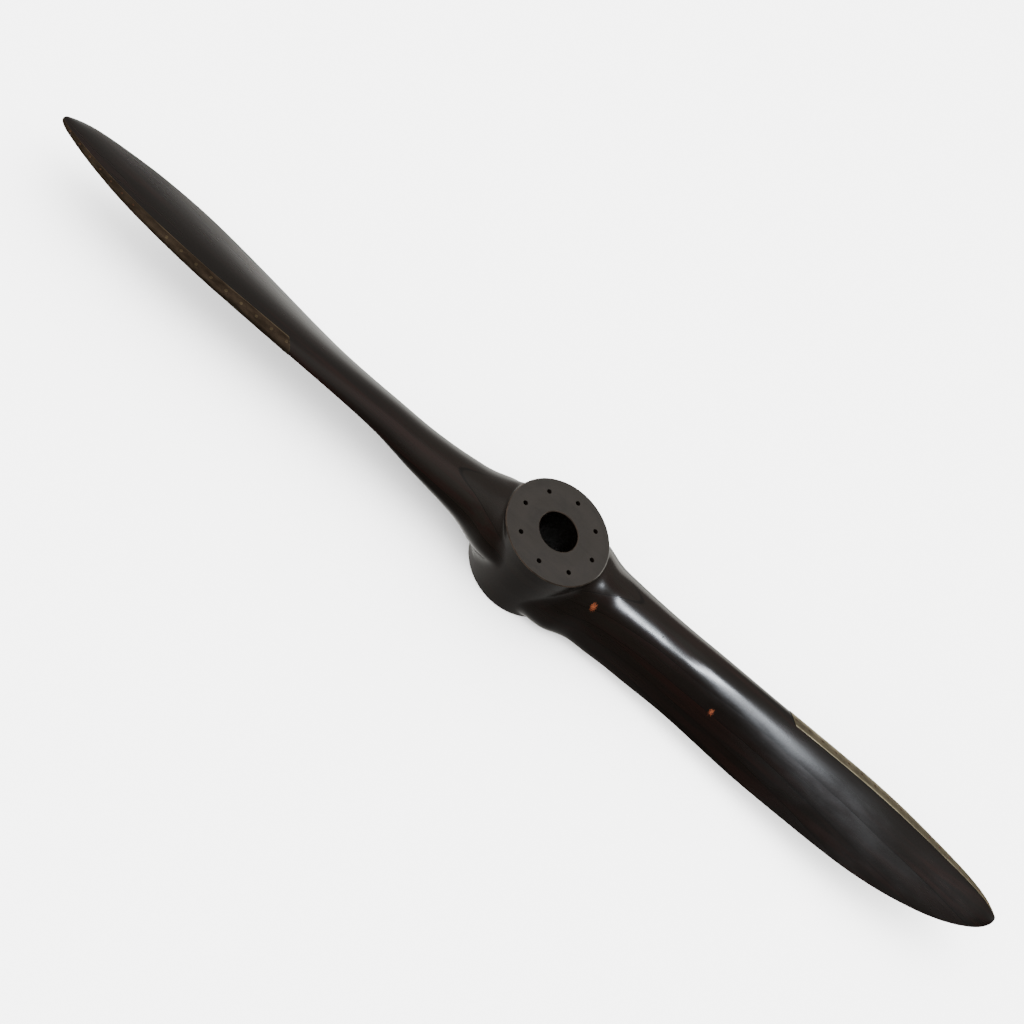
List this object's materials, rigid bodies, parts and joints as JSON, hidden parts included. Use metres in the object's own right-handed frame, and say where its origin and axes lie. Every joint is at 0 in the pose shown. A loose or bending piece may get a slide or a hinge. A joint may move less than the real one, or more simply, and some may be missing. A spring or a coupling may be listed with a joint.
{
  "type": "aeroplane propeller",
  "caption": "Fixed-pitch laminated wooden propeller with slim twisted blades, a round bored and bolted hub, dark varnish and brass leading-edge sheaths.",
  "frame": {"origin": "centre of the bore at the hub's rear mounting face", "axes": "+Z along the bore axis towards the front, +X along one blade, whose leading edge faces +Y"},
  "size_m": [2.4388, 0.234, 0.164],
  "materials": {
    "varnished_board": "gloss varnish",
    "hub_cheek": "satin varnish",
    "sheath_brass": "tarnished",
    "screw_brass": "tarnished",
    "rivet_copper": "tarnished copper"
  },
  "bodies": {
    "root": {"rear_hub_cheek": "hub_cheek", "front_hub_cheek": "hub_cheek", "board_1": "varnished_board", "board_2": "varnished_board", "board_3": "varnished_board", "board_4": "varnished_board", "board_5": "varnished_board", "sheath_a": "sheath_brass", "sheath_b": "sheath_brass", "sheath_screws_a": "screw_brass", "sheath_screws_b": "screw_brass", "sheath_rivets_a": "rivet_copper", "sheath_rivets_b": "rivet_copper"}
  },
  "joints": []
}
